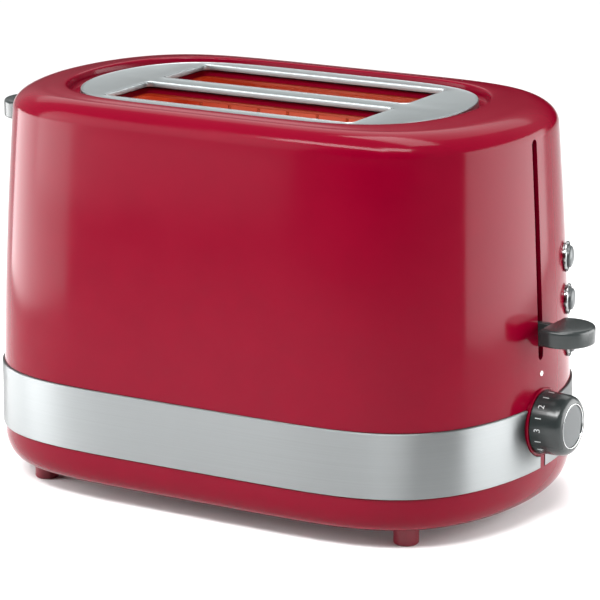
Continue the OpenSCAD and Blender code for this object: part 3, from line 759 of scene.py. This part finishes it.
# ---------------------------------------------------------------------------
# Dial, its ring, cap and printed numbers
# ---------------------------------------------------------------------------
def dial():
    """Dial with a slight draft, a rounded tip and a step for the ring."""
    face = half_length(KNOB_Z) + KNOB_SEAT
    tip = KNOB_DEPTH - KNOB_SEAT
    round_r = 3.6
    shoulder = KNOB_R - KNOB_DRAFT
    profile = [(0.4, 0), (0.4, KNOB_R - 0.5), (0.9, KNOB_R)]
    profile += [(x, KNOB_R - KNOB_DRAFT * x / tip) for x in (4, 8, tip - round_r)]
    profile += [(x, min(r, shoulder)) for x, r in
                arc((tip - round_r, shoulder - round_r), round_r, 90, 8, 12)[1:]]
    profile += [(tip, RING_R + 0.1), (tip - 0.1, RING_R + 0.05), (tip - 1.4, RING_R), (tip - 1.4, 0)]
    return smooth(lathe("dial", profile, along_x(face, 0, KNOB_Z), 160), 28)


finish_piece(dial(), "browning_dial", "grey_plastic", dark_gloss, "browning_knob")


def dial_ring():
    """Bright ring between the dial and its cap."""
    face = half_length(KNOB_Z) + KNOB_DEPTH
    middle_r, half = (CAP_R + RING_R) / 2 + 0.05, 0.28
    profile = [(-1.4, RING_R)] + arc((-0.4, middle_r), half, 90, -90, 8) + [(-1.4, CAP_R + 0.05)]
    return smooth(lathe("dial_ring", profile, along_x(face, 0, KNOB_Z), 128))


finish_piece(dial_ring(), "browning_dial", "bright_trim", bright_chrome, "knob_ring")


def dial_cap():
    """Domed cap in the middle of the dial."""
    face = half_length(KNOB_Z) + KNOB_DEPTH
    profile = [(-1.5, 0), (-1.5, CAP_R), (-0.9, CAP_R)]
    profile += [(-0.7 + 0.35 * math.cos(math.pi / 2 * i / 8),
                 (CAP_R - 0.1) * math.sin(math.pi / 2 * i / 8)) for i in range(8, 0, -1)]
    profile.append((-0.35, 0))
    return smooth(lathe("dial_cap", profile, along_x(face, 0, KNOB_Z), 128), 40)


finish_piece(dial_cap(), "browning_dial", "grey_plastic", cap_gloss, "knob_cap")


def dial_numbers():
    """Generic numbers round the dial's side, laid on it as thin raised strokes."""
    face = half_length(KNOB_Z) + KNOB_SEAT
    # The font's digits fill this share of its nominal size
    cap_height = 0.7
    work = bmesh.new()
    for index, digit in enumerate("1I2I3I4I5I6"):
        curve = bpy.data.curves.new("digit", "FONT")
        curve.body = digit
        curve.size = DIGIT_HEIGHT / cap_height
        curve.align_x = "CENTER"
        curve.align_y = "CENTER"
        curve.extrude = 0.12
        text = link("digit", curve)
        bpy.context.view_layer.update()
        mesh = bpy.data.meshes.new_from_object(text)
        middle = math.radians(DIGIT_START + index * DIGIT_STEP)
        for vertex in mesh.vertices:
            across, up, out = vertex.co
            angle = middle - across / KNOB_R
            along = DIGIT_LINE - up
            side = KNOB_R - KNOB_DRAFT * along / (KNOB_DEPTH - KNOB_SEAT)
            radius = side + out - DIGIT_SINK
            vertex.co = ((face + along + BODY_X) * MM, radius * math.cos(angle) * MM,
                         (KNOB_Z + radius * math.sin(angle)) * MM)
        work.from_mesh(mesh)
        bpy.data.objects.remove(text)
    bmesh.ops.recalc_face_normals(work, faces=work.faces)
    mesh = bpy.data.meshes.new("dial_numbers")
    work.to_mesh(mesh)
    work.free()
    return link("dial_numbers", mesh)


finish_piece(dial_numbers(), "browning_dial", "grey_plastic", digit_print)


# ---------------------------------------------------------------------------
# Push buttons, their bezels, feet and lift spring
# ---------------------------------------------------------------------------
def joined(name, pieces):
    """One piece made of several meshes."""
    work = bmesh.new()
    for piece in pieces:
        work.from_mesh(piece.data)
        bpy.data.objects.remove(piece)
    mesh = bpy.data.meshes.new(name)
    work.to_mesh(mesh)
    work.free()
    return link(name, mesh)


def bezel(i):
    """Bright ring round one push button, with a rolled lip."""
    bore, tube = BEZEL_BORE_R, BEZEL_TUBE_R
    profile = [(-5, bore), (-5, tube), (0.5, tube), (0.6, 7.2), (0.95, 7.3), (1.3, 7.15)]
    profile += arc((1.25, tube), 0.95, 60, 180, 8)[1:-1]
    profile.append((1.7, bore))
    return lathe("bezel", profile, button_place(i), 72)


finish_piece(smooth(joined("bezels", [bezel(i) for i in range(3)]), 40), "housing",
             "bright_trim", bezel_chrome, "button_bezels")


def button(i, name):
    """Domed push button with the plunger behind it that reaches its switch."""
    rim, rise = 2.6, 1.6
    dome = [(rim + rise * math.cos(math.pi / 2 * k / 8), BUTTON_R * math.sin(math.pi / 2 * k / 8))
            for k in range(8, 0, -1)]
    wall_x = end_surface(BUTTON_Z + i * BUTTON_PITCH, BUTTON_Y)
    stem = (PLUNGER_X - wall_x) / math.cos(BUTTON_TURN)
    profile = [(stem, 0), (stem, PLUNGER_R), (-6, PLUNGER_R), (-6, BUTTON_R)]
    profile += dome + [(rim + rise, 0)]
    return smooth(lathe(name, profile, button_place(i), 64), 34)


for index, key in enumerate(("cancel", "reheat", "defrost")):
    finish_piece(button(index, key + "_cap"), key + "_key", "grey_plastic", cap_gloss,
                 key + "_button")


def foot(x, y):
    """Post with a rounded lower edge, which widens up to the base."""
    place = Matrix.Translation((x, y, 0)) @ Matrix.Rotation(-math.pi / 2, 4, "Y")
    profile = [(0, 0), (0, 4.3)] + arc((1.2, 4.6), 1.2, 180, 90, 5)
    profile += [(BASE_BOTTOM + 0.2, FOOT_R), (BASE_BOTTOM + 0.2, 0)]
    return lathe("foot", profile, place, 48)


foot_pieces = [foot(x, y) for x in (-FOOT_X, FOOT_X) for y in (-FOOT_Y, FOOT_Y)]
finish_piece(smooth(joined("foot_posts", foot_pieces)), "housing", "foot_plastic", satin_red, "feet")


def spring():
    """Lift spring as a round wire along a helix."""
    turns, coil, wire = 22, 3.6, 0.5
    steps, sides = 28, 10
    low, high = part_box("lift_spring")
    x0 = ((low.x + high.x) / 2) / MM - BODY_X
    y0 = (low.y + high.y) / 2 / MM
    bottom, top = low.z / MM + wire, high.z / MM - wire
    rings = []
    for i in range(turns * steps + 1):
        t = 2 * math.pi * i / steps
        z = bottom + (top - bottom) * i / (turns * steps)
        row = []
        for j in range(sides):
            u = 2 * math.pi * j / sides
            radius = coil + wire * math.cos(u)
            row.append((x0 + radius * math.cos(t), y0 + radius * math.sin(t), z + wire * math.sin(u)))
        rings.append(row)
    return smooth(skin("coil_spring", rings), 60)


coil_spring = finish_piece(spring(), "housing", "spring_steel", wire_steel, "lift_spring")
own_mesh(coil_spring)


# ---------------------------------------------------------------------------
# Stage, lights and camera, in metres
# ---------------------------------------------------------------------------
FLOOR_HALF = 4.0
DARK_SIDE = (0.25, -0.95, 0.19)
DARK_START, DARK_END = 0.66, 0.97
WORLD_STRENGTH = 0.62

CAMERA_AZIMUTH = math.radians(31.6)
CAMERA_ELEVATION = math.radians(14.565)
CAMERA_DISTANCE = 1.524
CAMERA_LENS = 193.5
CAMERA_LOOK_Z = 0.0896
AIM_RIGHT, AIM_UP = 0.00766, -0.00242
CAMERA_ROLL = -0.00732


def stage():
    """Plain pale floor."""
    half = FLOOR_HALF
    mesh = bpy.data.meshes.new("floor")
    mesh.from_pydata([(-half, -half, 0), (half, -half, 0), (half, half, 0), (-half, half, 0)],
                     [], [(0, 1, 2, 3)])
    floor = link("floor", mesh)
    dress(floor, grain_material("floor_paint", (0.86, 0.86, 0.86), 0.6, spread=0.005,
                                scale=(3, 3, 3), bump=0.0, specular=0.2))


def soft_box(name, place, target, width, height, power, spread=180):
    """Rectangular lamp that faces a target, with its power in watts."""
    data = bpy.data.lights.new(name, "AREA")
    data.shape = "RECTANGLE"
    data.size, data.size_y = width, height
    data.energy = power
    data.spread = math.radians(spread)
    lamp = link(name, data)
    lamp.location = place
    lamp.rotation_euler = (Vector(target) - Vector(place)).to_track_quat("-Z", "Y").to_euler()
    lamp.visible_camera = False


def studio_world():
    """Pale surroundings that darken smoothly towards the front and the back."""
    world = bpy.data.worlds.new("studio")
    world.use_nodes = True
    tree = world.node_tree
    place = tree.nodes.new("ShaderNodeTexCoord")
    facing = tree.nodes.new("ShaderNodeVectorMath")
    facing.operation = "DOT_PRODUCT"
    facing.inputs[1].default_value = DARK_SIDE
    either_way = tree.nodes.new("ShaderNodeMath")
    either_way.operation = "ABSOLUTE"
    shade = tree.nodes.new("ShaderNodeValToRGB")
    shade.color_ramp.interpolation = "EASE"
    shade.color_ramp.elements[0].position = DARK_START
    shade.color_ramp.elements[0].color = (1, 1, 1, 1)
    shade.color_ramp.elements[1].position = DARK_END
    shade.color_ramp.elements[1].color = (0.01, 0.01, 0.01, 1)
    tree.links.new(place.outputs["Generated"], facing.inputs[0])
    tree.links.new(facing.outputs["Value"], either_way.inputs[0])
    tree.links.new(either_way.outputs["Value"], shade.inputs["Fac"])
    background = tree.nodes["Background"]
    tree.links.new(shade.outputs["Color"], background.inputs["Color"])
    background.inputs["Strength"].default_value = WORLD_STRENGTH
    bpy.context.scene.world = world


def studio_camera():
    """Long lens from the front right, a little above the toaster, aimed just off its middle."""
    data = bpy.data.cameras.new("camera")
    data.lens = CAMERA_LENS
    data.sensor_width = 36
    data.clip_end = 50
    camera = link("camera", data)
    outward = Vector((math.sin(CAMERA_AZIMUTH) * math.cos(CAMERA_ELEVATION),
                      -math.cos(CAMERA_AZIMUTH) * math.cos(CAMERA_ELEVATION),
                      math.sin(CAMERA_ELEVATION)))
    look_at = Vector((BODY_X * MM, 0, CAMERA_LOOK_Z))
    right = Vector((math.cos(CAMERA_AZIMUTH), math.sin(CAMERA_AZIMUTH), 0))
    camera.location = look_at + outward * CAMERA_DISTANCE
    aim = look_at + right * AIM_RIGHT + right.cross(-outward) * AIM_UP
    turn = (aim - camera.location).to_track_quat("-Z", "Y").to_matrix().to_4x4()
    camera.matrix_world = (Matrix.Translation(camera.location) @ turn
                           @ Matrix.Rotation(CAMERA_ROLL, 4, "Z"))
    bpy.context.scene.camera = camera


stage()
soft_box("left_box", (-0.50, -0.20, 0.10), (0.3, -0.05, 0.1), 0.55, 0.18, 1.1, spread=110)
soft_box("right_box", (0.42, 0.25, 0.15), (0, 0.05, 0.1), 0.6, 0.28, 2.0, spread=120)
soft_box("front_box", (-0.80, -0.90, 0.50), (0.5, -0.15, 0.15), 1.0, 0.95, 4.0, spread=80)
soft_box("key_box", (-0.12, -0.75, 0.92), (0, 0, 0.15), 0.8, 0.2, 13.0)
soft_box("corner_box", (0.36, -0.62, 0.98), (0.08, -0.05, 0.15), 0.4, 0.26, 8.0)
soft_box("top_box", (0.05, 0.1, 1.0), (0, 0, 0), 0.7, 0.3, 7.0)
soft_box("back_box", (-1.0, 1.7, 1.6), (-1.0, 1.7, 0), 2.6, 2.2, 24)
studio_world()
studio_camera()
bpy.context.scene.view_settings.view_transform = "Standard"
